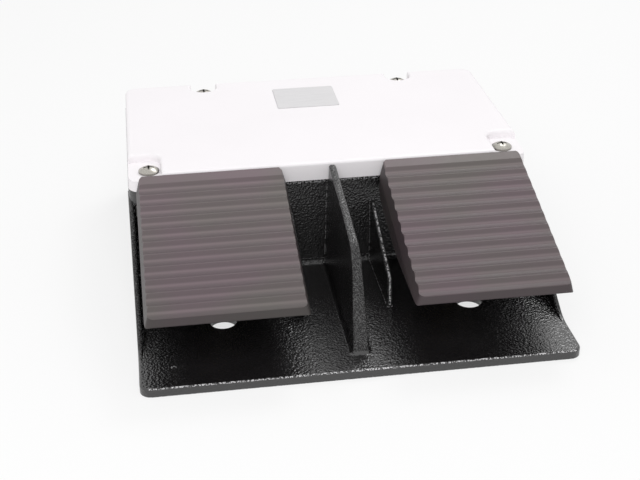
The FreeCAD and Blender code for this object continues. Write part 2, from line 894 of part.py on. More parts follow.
def under_ribs():
    """Stiffening ribs under the tread: two lengthwise and two across."""
    top = -rib_depth - pedal_tread_thickness / 2
    bottom = -rib_depth - pedal_tread_thickness - under_rib_depth
    front = pedal_length - pedal_wall / 2 - under_rib_front_room
    rear = under_rib_rear_distance
    ribs = []
    for x in (-under_rib_offset_x, under_rib_offset_x):
        side = [tread_point(rear, top) + (0,), tread_point(front, top) + (0,),
                tread_point(front, bottom) + (0,), tread_point(rear, bottom) + (under_rib_end_radius,)]
        ribs.append(side_prism(side, x - under_rib_thickness / 2, x + under_rib_thickness / 2))
    reach = pedal_half_width - pedal_wall + hidden_root
    for station in under_rib_stations:
        middle = tread_distance(station)
        low = middle - under_rib_thickness / 2
        high = middle + under_rib_thickness / 2
        side = [tread_point(low, top) + (0,), tread_point(high, top) + (0,),
                tread_point(high, bottom) + (0,), tread_point(low, bottom) + (0,)]
        ribs.append(side_prism(side, -reach, reach))
    return ribs


def side_hub(side):
    """Hub inside one skirt, round the axle."""
    inner = lug_offset_x + lug_thickness / 2 + bush_flange_thickness + hub_gap
    outer = pedal_half_width - pedal_wall / 2
    if side > 0:
        return rod_x(hub_radius, inner, outer, axle_y, axle_height)
    return rod_x(hub_radius, -outer, -inner, axle_y, axle_height)


def pedal(centre_x):
    """One pedal, with its arm, hubs, ribs and spring cup."""
    shell = pedal_shell()
    inside = -rib_depth - pedal_tread_thickness / 2
    cup_bore = spring_coil_radius + spring_wire_radius + spring_room
    cup_radius = cup_bore + spring_cup_wall
    cup = rod_z(cup_radius, spring_cup_mouth_height, pedal_rear_height, 0, spring_y)
    below_tread = side_prism(
        [
            tread_point(0, inside) + (0,),
            tread_point(pedal_length, inside) + (0,),
            (spring_y - cup_radius * 2, 0, 0),
            (pedal_rear_y, 0, 0),
        ],
        -cup_radius * 2, cup_radius * 2,
    )
    cup = cup.common(below_tread)
    pieces = [shell, pedal_arm(), side_hub(1), side_hub(-1), cup] + under_ribs()
    body = joined(pieces)
    body = body.cut(rod_z(cup_bore, spring_cup_mouth_height - hidden_root, spring_cup_seat_height, 0, spring_y))
    blind_end = -pedal_half_width + axle_blind_wall
    body = body.cut(rod_x(axle_radius + axle_fit, blind_end, overall_width / 2, axle_y, axle_height))
    slot_half = lug_thickness / 2 + bush_flange_thickness + hub_gap
    for x in (-lug_offset_x, lug_offset_x):
        slot_top = axle_height + lug_radius + 2 * bush_flange_thickness
        slot = block(x - slot_half, x + slot_half, axle_y + lug_radius, box_front_y, 0, slot_top)
        body = body.cut(slot)
    body.translate(Vector(centre_x, 0, 0))
    return body


def axle(centre_x):
    """Steel axle with two clip grooves, blind at its inner end."""
    start = -pedal_half_width + axle_blind_wall + hub_gap
    end = pedal_half_width + axle_end_stand
    bar = rod_x(axle_radius, start, end, axle_y, axle_height)
    bar = bar.makeChamfer(small_radius / 2, [edge for edge in bar.Edges if edge.BoundBox.XLength < tiny])
    for low, high in clip_spans(clip_room):
        ring = rod_x(axle_radius * 2, low, high, axle_y, axle_height)
        ring = ring.cut(rod_x(axle_radius - clip_groove_depth, low, high, axle_y, axle_height))
        bar = bar.cut(ring)
    bar.translate(Vector(centre_x, 0, 0))
    return bar


def clip_spans(room):
    """Where the two clips sit along the axle, widened by room on each face."""
    near = lug_offset_x - lug_thickness / 2 - clip_gap
    far = near - clip_thickness
    return [(far - room, near + room), (-near - room, -far + room)]


def axle_clips(centre_x):
    """Two open clips in the axle's grooves, just inside the lugs."""
    clips = []
    for low, high in clip_spans(0):
        ring = rod_x(clip_outer_radius, low, high, axle_y, axle_height)
        ring = ring.cut(rod_x(axle_radius - clip_groove_depth + clip_room, low, high, axle_y, axle_height))
        mouth = block(low, high, axle_y - clip_mouth / 2, axle_y + clip_mouth / 2, axle_height - clip_outer_radius * 2,
                      axle_height)
        clips.append(ring.cut(mouth))
    pair = Part.makeCompound(clips)
    pair.translate(Vector(centre_x, 0, 0))
    return pair


def axle_bushes(centre_x):
    """Two flanged bushes in the lugs, each flange facing its hub."""
    bore = axle_radius + axle_fit
    bushes = []
    for side in (-1, 1):
        inner = side * (lug_offset_x - lug_thickness / 2)
        face = side * (lug_offset_x + lug_thickness / 2)
        tip = face + side * bush_flange_thickness
        sleeve = rod_x(bore + bush_wall, min(inner, tip), max(inner, tip), axle_y, axle_height)
        flange = rod_x(bush_flange_radius, min(face, tip), max(face, tip), axle_y, axle_height)
        hole = rod_x(bore, min(inner, tip), max(inner, tip), axle_y, axle_height)
        bushes.append(joined([sleeve, flange]).cut(hole))
    pair = Part.makeCompound(bushes)
    pair.translate(Vector(centre_x, 0, 0))
    return pair


# Return spring


def helix_point(turn, height, turns):
    """Point and direction on the spring's centre line."""
    angle = 2 * math.pi * turn
    climb = height / (2 * math.pi * turns)
    place = Vector(spring_coil_radius * math.cos(angle), spring_coil_radius * math.sin(angle), climb * angle)
    direction = Vector(-spring_coil_radius * math.sin(angle), spring_coil_radius * math.cos(angle), climb)
    return place, direction.normalize()


def tangent_arc(start, corner, end):
    """Arc from start to end whose tangents meet in corner."""
    middle_way = ((start - corner).normalize() + (end - corner).normalize()).normalize()
    half_angle = (start - corner).getAngle(end - corner) / 2
    reach = start.distanceToPoint(corner)
    radius = reach * math.tan(half_angle)
    middle = corner + middle_way * (radius / math.sin(half_angle) - radius)
    return Part.Arc(start, middle, end).toShape()


def two_arcs(start, start_way, end, end_way):
    """Two arcs that join two points and keep the directions at both."""
    span = end - start
    both = start_way + end_way
    square = both.dot(both) - 4
    reach = (span.dot(both) - math.sqrt(span.dot(both) ** 2 - square * span.dot(span))) / square
    if reach < 0:
        reach = (span.dot(both) + math.sqrt(span.dot(both) ** 2 - square * span.dot(span))) / square
    first = start + start_way * reach
    second = end - end_way * reach
    middle = (first + second) * 0.5
    return [tangent_arc(start, first, middle), tangent_arc(middle, second, end)]


def return_spring(centre_x):
    """Compression spring between its pad on the floor and its cup under the pedal."""
    height = spring_cup_seat_height - spring_seat_height - 2 * spring_wire_radius - 2 * spring_end_gap
    steps = spring_turns * 2
    edges = []
    for step in range(steps):
        start, start_way = helix_point(step / 2, height, spring_turns)
        end, end_way = helix_point((step + 1) / 2, height, spring_turns)
        edges += two_arcs(start, start_way, end, end_way)
    path = Part.Wire(edges)
    start, way = helix_point(0, height, spring_turns)
    section = Part.Wire([Part.makeCircle(spring_wire_radius, start, way)])
    coil = path.makePipeShell([section], True, False)
    coil.translate(Vector(centre_x, spring_y, spring_seat_height + spring_wire_radius + spring_end_gap))
    return coil


# Plunger train


def plunger(centre_x):
    """Push rod with a domed tip and a collar that keeps it in its guide, turned about its own axis."""
    end_y = plunger_tip_y + plunger_length
    dome_depth = plunger_tip_sphere - math.sqrt(plunger_tip_sphere ** 2 - plunger_radius ** 2)
    half_radius = plunger_radius / 2
    half_depth = plunger_tip_sphere - math.sqrt(plunger_tip_sphere ** 2 - half_radius ** 2)
    collar_y = guide_end_y() + 2 * arm_gap
    tip = Vector(0, plunger_tip_y, 0)
    shoulder = Vector(plunger_radius, plunger_tip_y + dome_depth, 0)
    dome = Part.Arc(tip, Vector(half_radius, plunger_tip_y + half_depth, 0), shoulder).toShape()
    rest = Part.makePolygon([
        shoulder,
        Vector(plunger_radius, collar_y, 0),
        Vector(plunger_collar_radius, collar_y, 0),
        Vector(plunger_collar_radius, collar_y + plunger_collar_thickness, 0),
        Vector(plunger_radius, collar_y + plunger_collar_thickness, 0),
        Vector(plunger_radius, end_y, 0),
        Vector(0, end_y, 0),
        tip,
    ])
    half_section = Part.Face(Part.Wire([dome] + rest.Edges))
    rod = half_section.revolve(Vector(0, 0, 0), Vector(0, 1, 0), 360)
    rod.translate(Vector(centre_x, 0, plunger_height))
    return rod


def guide_end_y():
    """Rear end of the plunger guide."""
    return box_front_y + box_wall + box_draft + guide_tail_length


def plunger_guide(centre_x):
    """Flanged sleeve through the box's front wall, with a seat for the seal."""
    flange_y = box_front_y - guide_flange_thickness
    flange = rod_y(guide_flange_radius, flange_y, box_front_y, centre_x, plunger_height)
    flange = flange.makeFillet(small_radius, [flange.Edges[index] for index in round_edges(flange, flange_y)])
    sleeve = rod_y(guide_body_radius, flange_y + hidden_root, guide_end_y(), centre_x, plunger_height)
    bore = rod_y(plunger_radius + plunger_fit, flange_y - hidden_root, guide_end_y() + hidden_root,
                 centre_x, plunger_height)
    seat = rod_y(seal_radius + guide_fit, flange_y - hidden_root, flange_y + seal_recess, centre_x, plunger_height)
    return joined([flange, sleeve]).cut(bore).cut(seat)


def round_edges(shape, y):
    """Indexes of the edges that lie wholly at one y."""
    return [
        index for index, edge in enumerate(shape.Edges)
        if abs(edge.BoundBox.YMin - y) < tiny and abs(edge.BoundBox.YMax - y) < tiny
    ]


def wiper_seal(centre_x):
    """Rubber ring in the mouth of the guide."""
    back_y = box_front_y - guide_flange_thickness + seal_recess
    front_y = back_y - seal_thickness
    ring = rod_y(seal_radius, front_y, back_y, centre_x, plunger_height)
    return ring.cut(rod_y(plunger_radius + 2 * plunger_fit, front_y, back_y, centre_x, plunger_height))


def guide_nut(centre_x):
    """Hexagon nut on the guide, inside the box."""
    front_y = box_front_y + box_wall + box_draft + nut_washer_gap
    corner = nut_across_flats / math.sqrt(3)
    points = []
    for index in range(6):
        angle = math.radians(60 * index)
        points.append((centre_x + corner * math.cos(angle), plunger_height + corner * math.sin(angle), 0))
    nut = front_prism(points, front_y, front_y + nut_thickness)
    return nut.cut(rod_y(guide_body_radius + guide_fit, front_y, front_y + nut_thickness, centre_x, plunger_height))


# Switch inserts


def button_front_y():
    """Front end of the switch button, just behind the plunger."""
    return plunger_tip_y + plunger_length + button_gap


def switch_insert(centre_x):
    """Contact block on two flanges, stepped at the rear where the terminals are."""
    half = switch_width / 2
    front = switch_front_y
    rear = front + switch_depth
    low = switch_seat_height
    top = low + switch_height
    side = [
        (front, low, small_radius),
        (rear, low, small_radius),
        (rear, top - switch_step_drop, small_radius),
        (rear - switch_step_depth, top - switch_step_drop, small_radius),
        (rear - switch_step_depth, top, small_radius),
        (front, top, small_radius),
    ]
    body = side_prism(side, centre_x - half, centre_x + half)
    middle_y = front + switch_depth / 2
    flange_half = switch_flange_width / 2
    flange = plan_prism(
        rectangle(centre_x - flange_half, centre_x + flange_half,
                  middle_y - switch_flange_depth / 2, middle_y + switch_flange_depth / 2,
                  switch_flange_corner_radius, switch_flange_corner_radius),
        low, low + switch_flange_thickness,
    )
    body = joined([body, flange])
    body = body.cut(rod_y(button_radius + button_fit, front - hidden_root, front + button_bore_depth,
                          centre_x, plunger_height))
    for x, y in switch_screw_places(centre_x):
        body = body.cut(rod_z(small_screw_radius + screw_hole_room, low - hidden_root,
                              low + switch_flange_thickness + hidden_root, x, y))
    for x, y, seat in terminal_places(centre_x):
        body = body.cut(rod_z(small_screw_head_radius + screw_hole_room, seat, seat + switch_step_drop * 2, x, y))
        body = body.cut(rod_z(small_screw_radius + small_screw_room, seat - small_screw_length, seat + hidden_root,
                              x, y))
    return body


def terminal_places(centre_x):
    """Places of the four terminal screws of one switch, with the height of each seat."""
    top = switch_seat_height + switch_height
    rear_y = switch_front_y + switch_depth - switch_step_depth / 2
    places = []
    for x in (centre_x - terminal_offset_x, centre_x + terminal_offset_x):
        places.append((x, rear_y - terminal_pitch_y, top - terminal_recess))
        places.append((x, rear_y, top - switch_step_drop - terminal_recess))
    return places


def switch_button(centre_x):
    """Round button that the plunger pushes into the switch."""
    front_y = button_front_y()
    button = rod_y(button_radius, front_y, front_y + button_length, centre_x, plunger_height)
    return button.makeFillet(small_radius, [button.Edges[index] for index in round_edges(button, front_y)])


def small_screw(x, y, seat):
    """M4 pan-head screw."""
    return pan_head_screw(x, y, seat, small_screw_head_radius, small_screw_head_height, small_screw_radius,
                          small_screw_length)


def main():
    """Build every node and write it."""
    os.makedirs("parts", exist_ok=True)
    save("base_casting", base_casting())
    save("housing_cover", cover())
    save("cover_gasket", gasket())
    save("label_plate", label_plate())
    save("cover_screws_front", cover_screws("front"))
    save("cover_screws_rear", cover_screws("rear"))
    makers = {
        "pedal": pedal,
        "pedal_axle": axle,
        "axle_bushes": axle_bushes,
        "axle_clips": axle_clips,
        "return_spring": return_spring,
        "plunger": plunger,
        "plunger_guide": plunger_guide,
        "wiper_seal": wiper_seal,
        "guide_nut": guide_nut,
        "switch_insert": switch_insert,
        "switch_button": switch_button,
    }
    for name, make in makers.items():
        right = make(pedal_centre_x)
        save("right_" + name, right)
        save("left_" + name, mirrored(right))
    fixing = []
    terminals = []
    for centre_x in (-pedal_centre_x, pedal_centre_x):
        seat = switch_seat_height + switch_flange_thickness
        fixing += [small_screw(x, y, seat) for x, y in switch_screw_places(centre_x)]
        terminals += [small_screw(x, y, place) for x, y, place in terminal_places(centre_x)]
    save("switch_screws", Part.makeCompound(fixing))
    save("terminal_screws", Part.makeCompound(terminals))
    save("earth_screw", small_screw(0, earth_boss_y, floor_thickness + earth_boss_height))


main()
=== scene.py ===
import json
import math

import bpy
from mathutils import Matrix, Vector


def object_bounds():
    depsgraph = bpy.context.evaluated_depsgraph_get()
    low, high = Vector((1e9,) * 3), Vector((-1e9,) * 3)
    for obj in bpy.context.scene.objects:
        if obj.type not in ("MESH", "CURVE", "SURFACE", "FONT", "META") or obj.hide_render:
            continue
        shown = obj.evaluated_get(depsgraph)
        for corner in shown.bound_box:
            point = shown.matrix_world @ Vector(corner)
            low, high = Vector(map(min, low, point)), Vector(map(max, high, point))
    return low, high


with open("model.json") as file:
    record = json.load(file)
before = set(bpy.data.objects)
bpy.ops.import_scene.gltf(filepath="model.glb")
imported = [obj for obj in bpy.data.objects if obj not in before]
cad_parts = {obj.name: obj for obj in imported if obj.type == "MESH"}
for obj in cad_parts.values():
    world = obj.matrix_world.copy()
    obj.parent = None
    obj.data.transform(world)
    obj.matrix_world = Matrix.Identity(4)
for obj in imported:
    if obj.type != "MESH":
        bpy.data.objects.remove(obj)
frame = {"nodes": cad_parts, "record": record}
cad_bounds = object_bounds()

# Lengths are in metres and angles in degrees, if nothing else is said.
# Camera, solved from the photograph on the left-right symmetry of the switch; lens and sensor in millimetres
camera_place = Vector((-0.1035, -0.6681, 0.3794))
camera_pan = 8.33
camera_tilt = -28.30
camera_roll = -0.47
camera_lens = 69.84
camera_sensor = 36.0

# Stage: floor, world and lamps, whose power is in watts
floor_size = 6.0
floor_drop = 0.0002
floor_colour = (0.93, 0.93, 0.93)
floor_roughness = 0.9
floor_shine = 0.1
floor_camera_glow = 0.72
white = (1.0, 1.0, 1.0, 1.0)
world_strength = 0.58
front_light_power = 7.5
front_light_size = 0.9
front_light_place = (-0.23, -0.86, 0.97)
rear_light_power = 3.2
rear_light_size = 0.42
rear_light_place = (0.42, 0.64, 1.08)
light_target = (0.0, 0.0, 0.03)

# Casting: places that its masks need
guard_thickness = 0.003
guard_inner_x = cad_bounds[1][0] - guard_thickness
cast_front_y = cad_bounds[0][1]
cast_floor_top = 0.0051
box_front_y = -0.0099
box_rim_z = 0.0623
fin_place_x = 0.025

# Rims of its walls: their start before the box and over the floor, and how much they face up or forward
rim_before_box = 0.002
rim_over_floor = 0.0015
rim_facing = 0.45
rim_shine = 0.35
# Painted sheen: lighter speckles painted on the rims that face up or forward; their scale, share and colour
rim_sheen_scale = 1900.0
rim_sheen_limit = 0.55
rim_sheen_colour = (0.09, 0.09, 0.09)

# Painted glints: bright speckled colour painted on the fins' tops, the floor's front edge, under the box's
# rim and in sharp corners
fin_line_half_width = 0.0005
front_edge_depth = 0.0011
front_edge_facing = 0.72
front_edge_facing_reach = 0.24
box_line_height = 0.0022
box_wall_reach = 0.001
corner_radius = 0.0006
corner_samples = 4
corner_likeness = 0.96
corner_past_guard = 0.0005
glint_scale = 1100.0
glint_limit = 0.52
glint_paint_colour = (0.55, 0.54, 0.55)

# Enamel: colours, and the stirred pebbles of its wrinkle
enamel_black = ((0.009, 0.0084, 0.0088), (0.0125, 0.0117, 0.0122))
wrinkle_scale = 850.0
wrinkle_smoothness = 0.6
wrinkle_depth = 0.00024
stir_scale = 380.0
stir_reach = 0.0012

# Ejector marks in the floor of the casting: centres in the plan, and the ring's sizes
ejector_marks = ((-0.0119, -0.0694), (0.0153, -0.0696), (0.1138, -0.1145))
ejector_mark_radius = 0.0038
ejector_mark_half_width = 0.00025
ejector_mark_height = 0.0004
# Painted glint: each ring is painted a little lighter than the enamel
ejector_glint_colour = (0.035, 0.034, 0.035)

# Treads: rear end and angle of the slope, and where the ribs are along it
tread_rear_y = -0.0132
tread_rear_z = 0.0739
tread_slope = 15.5
rib_start = 0.0075
rib_pitch = 0.00966
# Painted highlights and painted shade across one rib: bright lines at the valley and the crest, darker rises;
# distance along the slope, and brightness
rib_painted_light = (
    (0.0, 1.14), (0.0004, 1.0), (0.0022, 0.99), (0.0025, 1.1), (0.0028, 1.28), (0.0031, 1.52),
    (0.0037, 1.52), (0.0043, 1.24), (0.00495, 1.06), (0.00555, 0.99), (0.00685, 0.93), (0.0075, 0.92),
    (0.0082, 1.02), (0.00875, 1.24), (0.00935, 1.27), (0.00966, 1.14),
)
# Painted light: a painted highlight on the smooth band behind the ribs, and painted shade on the pedal's
# sides
band_painted_light = 1.27
side_painted_shade = 0.52
# Painted light: the tread is painted a little paler at its rear: brightness there, and what it loses per
# metre along the slope
rear_painted_light = 1.10
painted_light_fade = 1.8
# A surface of the pedal counts as its side under the first share of facing up, and as its top over the second
side_facing = 0.35
top_facing = 0.6

# Colours between which the cover, the pedals and the plate vary
cover_white = ((0.935, 0.905, 0.925), (0.955, 0.925, 0.945))
pedal_brown = ((0.114, 0.102, 0.097), (0.126, 0.097, 0.106))
pedal_shine = 0.26
plate_grey = ((0.66, 0.65, 0.66), (0.74, 0.73, 0.74))
plate_metallic = 0.1
plate_stretch = (0.04, 1.0, 1.0)

# Metals and plain plastics: share of the colour in their darker marks, and how far the painted shade in a
# metal's recesses reaches
metal_mark = 0.82
plastic_mark = 0.8
recess_reach = 0.003
recess_samples = 8

# Nodes that take a near-black steel instead of their slot's material, by the ends of their names
darkened_endings = ("_axle", "_axle_clips")

materials = {}


def new_material(name):
    """Node tree and Principled shader of a new material, which is kept under its name."""
    material = bpy.data.materials.new(name)
    material.use_nodes = True
    materials[name] = material
    return material.node_tree, material.node_tree.nodes["Principled BSDF"]


def feed(tree, socket, value):
    """Give an input a value, or link it to another node's output."""
    if isinstance(value, bpy.types.NodeSocket):
        tree.links.new(value, socket)
    else:
        socket.default_value = value


def add_node(tree, kind, **values):
    """Node of a kind, with its inputs fed and its properties set by name."""
    node = tree.nodes.new(kind)
    for name, value in values.items():
        label = name.replace("_", " ")
        if label in node.inputs:
            feed(tree, node.inputs[label], value)
        else:
            setattr(node, name, value)
    return node


def math_node(tree, operation, *values):
    """Result of a math node on values and outputs."""
    node = add_node(tree, "ShaderNodeMath", operation=operation)
    for socket, value in zip(node.inputs, values):
        feed(tree, socket, value)
    return node.outputs["Value"]


def vector_math(tree, operation, *values):
    """Result of a vector math node: a number for a distance or a dot product, otherwise a vector."""
    node = add_node(tree, "ShaderNodeVectorMath", operation=operation)
    for socket, value in zip(node.inputs, values):
        feed(tree, socket, value)
    return node.outputs["Value" if operation in ("DISTANCE", "DOT_PRODUCT") else "Vector"]


def mixed(tree, kind, share, first, second):
    """Mix of two numbers for the kind FLOAT, or of two colours for the kind RGBA."""
    node = add_node(tree, "ShaderNodeMix", data_type=kind)
    first_input, output = {"FLOAT": (2, 0), "RGBA": (6, 2)}[kind]
    feed(tree, node.inputs[0], share)
    feed(tree, node.inputs[first_input], first)
    feed(tree, node.inputs[first_input + 1], second)
    return node.outputs[output]


def painted(tree, colour, mask, over):
    """Colour with another one over it where the mask is 1."""
    return mixed(tree, "RGBA", mask, colour, (*over, 1.0))


def above(tree, value, limit):
    """1 where a value is above a limit."""
    return math_node(tree, "GREATER_THAN", value, limit)


def below(tree, value, limit):
    """1 where a value is below a limit."""
    return math_node(tree, "LESS_THAN", value, limit)


def near(tree, value, middle, reach):
    """1 where a value is within a reach of a middle."""
    return math_node(tree, "COMPARE", value, middle, reach)


def all_of(tree, first, *others):
    """1 where every mask is 1."""
    for other in others:
        first = math_node(tree, "MULTIPLY", first, other)
    return first


def largest(tree, first, *others):
    """Largest of the values: of masks, 1 where any of them is 1."""
    for other in others:
        first = math_node(tree, "MAXIMUM", first, other)
    return first


def object_coordinates(tree):
    """Coordinates fixed to the piece."""
    return add_node(tree, "ShaderNodeTexCoord").outputs["Object"]


def object_normal(tree):
    """Where the surface faces, fixed to the piece."""
    return add_node(tree, "ShaderNodeTexCoord").outputs["Normal"]


def split_axes(tree, vector):
    """The three parts of a vector."""
    return add_node(tree, "ShaderNodeSeparateXYZ", Vector=vector).outputs


def noise(tree, place, scale, detail=2.0, roughness=0.5):
    """Noise pattern whose cells are about 1 / scale metres wide."""
    node = add_node(tree, "ShaderNodeTexNoise", Vector=place, Scale=scale, Detail=detail, Roughness=roughness)
    return node.outputs["Fac"]


def pebbles(tree, place, scale, smoothness):
    """Rounded cells about 1 / scale metres across."""
    node = add_node(tree, "ShaderNodeTexVoronoi", feature="SMOOTH_F1",
                    Vector=place, Scale=scale, Smoothness=smoothness)
    return node.outputs["Distance"]


def ring(tree, place, centre, radius, half_width):
    """1 on a thin ring round an upright line, 0 elsewhere."""
    flat = vector_math(tree, "MULTIPLY", place, (1.0, 1.0, 0.0))
    return near(tree, vector_math(tree, "DISTANCE", flat, (*centre, 0.0)), radius, half_width)


def ramp(tree, value, low_colour, high_colour, low=0.3, high=0.7):
    """Colour that runs from one to another while a value runs from low to high."""
    node = add_node(tree, "ShaderNodeValToRGB", Fac=value)
    stops = node.color_ramp.elements
    stops[0].position = low
    stops[1].position = high
    stops[0].color = (*low_colour, 1.0)
    stops[1].color = (*high_colour, 1.0)
    return node.outputs["Color"]


def spread(tree, value, low, high):
    """Value between 0 and 1 spread over a range."""
    return add_node(tree, "ShaderNodeMapRange", Value=value, To_Min=low, To_Max=high).outputs["Result"]


def set_roughness(tree, shader, pattern, low, high):
    """Roughness that follows a pattern."""
    feed(tree, shader.inputs["Roughness"], spread(tree, pattern, low, high))


def bump(tree, shader, height, depth, strength=1.0, before=None):
    """Bump on a shader, over an earlier bump if given."""
    node = add_node(tree, "ShaderNodeBump", Height=height, Strength=strength, Distance=depth)
    if before is not None:
        feed(tree, node.inputs["Normal"], before)
    feed(tree, shader.inputs["Normal"], node.outputs["Normal"])
    return node.outputs["Normal"]


def sharp_corners(tree):
    """1 close to sharp edges and corners, where a rounded surface would face another way."""
    rounded = add_node(tree, "ShaderNodeBevel", samples=corner_samples, Radius=corner_radius)
    plain = add_node(tree, "ShaderNodeNewGeometry")
    likeness = vector_math(tree, "DOT_PRODUCT", rounded.outputs["Normal"], plain.outputs["Normal"])
    return below(tree, likeness, corner_likeness)


def cast_masks(tree, place):
    """Rims of the casting's walls, and where painted glints go along its edges and corners."""
    spot = split_axes(tree, place)
    facing = split_axes(tree, object_normal(tree))
    beside = math_node(tree, "ABSOLUTE", spot["X"])

    before_box = below(tree, spot["Y"], box_front_y - rim_before_box)
    over_floor = above(tree, spot["Z"], cast_floor_top + rim_over_floor)
    forward = math_node(tree, "MULTIPLY", facing["Y"], -1.0)
    outward = above(tree, largest(tree, facing["Z"], forward), rim_facing)
    rims = all_of(tree, before_box, over_floor, outward)

    fin_lines = all_of(tree, rims, near(tree, beside, fin_place_x, fin_line_half_width))
    at_front = below(tree, spot["Y"], cast_front_y + front_edge_depth)
    front_edge = all_of(tree, at_front, near(tree, facing["Z"], front_edge_facing, front_edge_facing_reach))
    inside_guards = below(tree, beside, guard_inner_x + corner_past_guard)
    corners = all_of(tree, sharp_corners(tree), inside_guards)
    on_box_wall = near(tree, spot["Y"], box_front_y, box_wall_reach)
    box_line = all_of(tree, on_box_wall, above(tree, spot["Z"], box_rim_z - box_line_height))
    # Painted glints: speckled bright colour along these edges and corners
    glint_places = largest(tree, fin_lines, front_edge, corners, box_line)
    painted_glints = all_of(tree, glint_places, above(tree, noise(tree, place, glint_scale, detail=1.0), glint_limit))
    return rims, painted_glints


def cast_base_material():
    """Black enamel with a pebbled wrinkle, painted glints at its edges and corners, and a painted sheen on
    its rims.
    """
    tree, shader = new_material("cast_base")
    place = object_coordinates(tree)
    stir = noise(tree, place, stir_scale)
    stirred = vector_math(tree, "MULTIPLY_ADD", stir, (stir_reach, stir_reach, stir_reach), place)
    wrinkle = pebbles(tree, stirred, wrinkle_scale, wrinkle_smoothness)
    normal = bump(tree, shader, wrinkle, wrinkle_depth)

    rims, painted_glints = cast_masks(tree, place)
    painted_rim_sheen = above(tree, noise(tree, place, rim_sheen_scale, detail=1.0), rim_sheen_limit)
    colour = ramp(tree, noise(tree, place, scale=60.0), *enamel_black)
    # Painted sheen: lighter speckles on the rims that face up or forward
    colour = painted(tree, colour, all_of(tree, rims, painted_rim_sheen), rim_sheen_colour)
    for centre in ejector_marks:
        mark = ring(tree, place, centre, ejector_mark_radius, ejector_mark_half_width)
        # Painted glint: the ring is painted lighter, over its real raised bump
        colour = painted(tree, colour, mark, ejector_glint_colour)
        normal = bump(tree, shader, mark, ejector_mark_height, before=normal)
    # Painted glints: the bright speckled colour is painted over the rest
    feed(tree, shader.inputs["Base Color"], painted(tree, colour, painted_glints, glint_paint_colour))
    feed(tree, shader.inputs["Specular IOR Level"], mixed(tree, "FLOAT", rims, 1.0, rim_shine))
    set_roughness(tree, shader, noise(tree, place, scale=500.0), 0.17, 0.27)


def cover_material():
    """White moulded plastic, satin, with a very faint grain."""
    tree, shader = new_material("cover_plastic")
    place = object_coordinates(tree)
    feed(tree, shader.inputs["Base Color"], ramp(tree, noise(tree, place, scale=14.0), *cover_white))
    set_roughness(tree, shader, noise(tree, place, scale=90.0), 0.34, 0.44)
    bump(tree, shader, noise(tree, place, scale=1500.0), depth=0.0001, strength=0.06)


def tread_painted_light(tree, place):
    """Painted light along the slope of the tread: painted highlight lines and painted shade on the ribs, a
    brighter band behind them, and a paler rear.
    """
    slope = math.radians(tread_slope)
    from_rear = vector_math(tree, "SUBTRACT", place, (0.0, tread_rear_y, tread_rear_z))
    along = vector_math(tree, "DOT_PRODUCT", from_rear, (0.0, -math.cos(slope), -math.sin(slope)))
    from_first = math_node(tree, "SUBTRACT", along, rib_start)
    phase = math_node(tree, "FLOORED_MODULO", from_first, rib_pitch)
    # Painted highlights and painted shade: each rib's brightness comes from this ramp
    node = add_node(tree, "ShaderNodeValToRGB", Fac=math_node(tree, "DIVIDE", phase, rib_pitch))
    stops = node.color_ramp.elements
    while len(stops) < len(rib_painted_light):
        stops.new(0.5)
    # A ramp's colours end at 1, so that the tints are halved in it and doubled after it
    for stop, (distance, tint) in zip(stops, rib_painted_light):
        stop.position = distance / rib_pitch
        stop.color = (tint / 2, tint / 2, tint / 2, 1.0)
    ribs = math_node(tree, "MULTIPLY", node.outputs["Color"], 2.0)
    # Painted highlight: the band behind the first rib is painted brighter
    brightness = mixed(tree, "FLOAT", below(tree, from_first, 0.0), ribs, band_painted_light)
    # Painted light: paler at the rear, fading along the slope
    fade = math_node(tree, "MULTIPLY_ADD", along, -painted_light_fade, rear_painted_light)
    return math_node(tree, "MULTIPLY", brightness, fade)


def pedal_material():
    """Grey-brown moulded plastic, satin, with painted light on its top and painted shade on its sides."""
    tree, shader = new_material("pedal_plastic")
    place = object_coordinates(tree)
    tone = ramp(tree, noise(tree, place, scale=17.0), *pedal_brown, low=0.36, high=0.64)
    upward = split_axes(tree, object_normal(tree))["Z"]
    on_top = add_node(tree, "ShaderNodeMapRange", Value=upward, From_Min=side_facing, From_Max=top_facing)
    # Painted shade on the sides and painted light on the top, blended by how much the surface faces up
    brightness = mixed(tree, "FLOAT", on_top.outputs["Result"], side_painted_shade, tread_painted_light(tree, place))
    shade = add_node(tree, "ShaderNodeVectorMath", operation="SCALE", Vector=tone, Scale=brightness)
    feed(tree, shader.inputs["Base Color"], shade.outputs["Vector"])
    feed(tree, shader.inputs["Specular IOR Level"], pedal_shine)
    set_roughness(tree, shader, noise(tree, place, scale=160.0, detail=3.0), 0.38, 0.48)
    bump(tree, shader, noise(tree, place, scale=1800.0), depth=0.0001, strength=0.1)


def label_material():
    """Plain brushed grey plate."""
    tree, shader = new_material("label_metal")
    stretched = add_node(tree, "ShaderNodeMapping", Vector=object_coordinates(tree), Scale=plate_stretch)
    brushed = noise(tree, stretched.outputs["Vector"], scale=2500.0, detail=3.0, roughness=0.6)
    feed(tree, shader.inputs["Base Color"], ramp(tree, brushed, *plate_grey))
    feed(tree, shader.inputs["Metallic"], plate_metallic)
    set_roughness(tree, shader, brushed, 0.42, 0.55)
    bump(tree, shader, brushed, depth=0.00005, strength=0.05)


def darkened(colour, share):
    """A share of a colour."""
    return tuple(channel * share for channel in colour)


